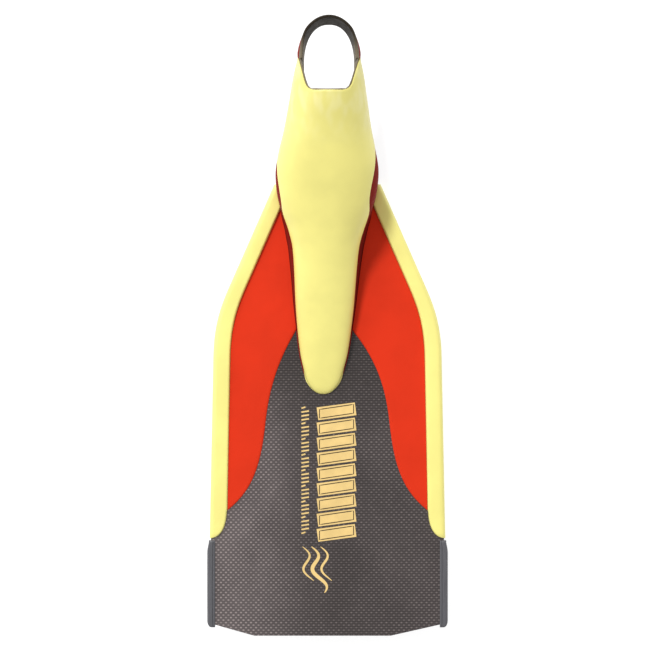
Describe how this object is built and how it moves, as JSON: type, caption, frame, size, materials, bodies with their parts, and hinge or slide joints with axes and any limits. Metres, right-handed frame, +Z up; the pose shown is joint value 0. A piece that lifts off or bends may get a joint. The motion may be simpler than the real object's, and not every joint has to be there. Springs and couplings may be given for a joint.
{
  "type": "swim fin",
  "caption": "Long-bladed swim fin with an open-heel rubber foot pocket, streamlined nose, rubber wings along a laminate blade and a stretching heel band.",
  "frame": {"origin": "under the fin on the plane of the wings' undersides, midway along its length and width", "axes": "+Z up out of the blade's top face; +Y toward the heel; -Y toward the blade's tip; X across the blade"},
  "size_m": [0.24, 0.6042, 0.115],
  "materials": {
    "laminate": "woven fibre laminate under clear resin, satin gloss",
    "rail_plastic": "smooth slate-grey extruded plastic",
    "yellow_rubber": "smooth moulded rubber with a soft satin sheen",
    "red_rubber": "smooth rubber sheet, faint satin sheen",
    "dark_red_rubber": "smooth rubber, satin",
    "black_rubber": "matt rubber with a moulded tread",
    "lining": "matt inner rubber",
    "footbed": "matt rubber with a fine grain",
    "core_rubber": "plain filler rubber, hidden inside"
  },
  "bodies": {
    "fin": {"blade_root": "laminate", "wing_left": "yellow_rubber", "wing_right": "yellow_rubber", "top_panel_left": "red_rubber", "top_panel_right": "red_rubber", "bottom_panel_left": "red_rubber", "bottom_panel_right": "red_rubber", "blade_tongue": "red_rubber", "nose_core": "core_rubber", "wedge_core": "core_rubber", "sole": "black_rubber", "insole": "footbed", "side_wall_left": "dark_red_rubber", "side_wall_right": "dark_red_rubber", "pocket_liner": "lining", "pocket_upper": "yellow_rubber"},
    "blade_end": {"blade_tip": "laminate", "edge_rail_left": "rail_plastic", "edge_rail_right": "rail_plastic"},
    "heel_strap": {"heel_band": "dark_red_rubber", "heel_band_liner": "lining"}
  },
  "joints": [
    {"name": "blade_flex", "type": "hinge", "parent": "fin", "child": "blade_end", "pos_m": [0, -0.206, 0.005], "axis": [1, 0, 0], "range_deg": [-15, 15], "stiffness_Nm_per_rad": 12},
    {"name": "heel_band_stretch", "type": "slide", "parent": "fin", "child": "heel_strap", "axis": [0, 0.9703, 0.2419], "range_m": [0, 0.02], "stiffness_N_per_m": 1500}
  ]
}
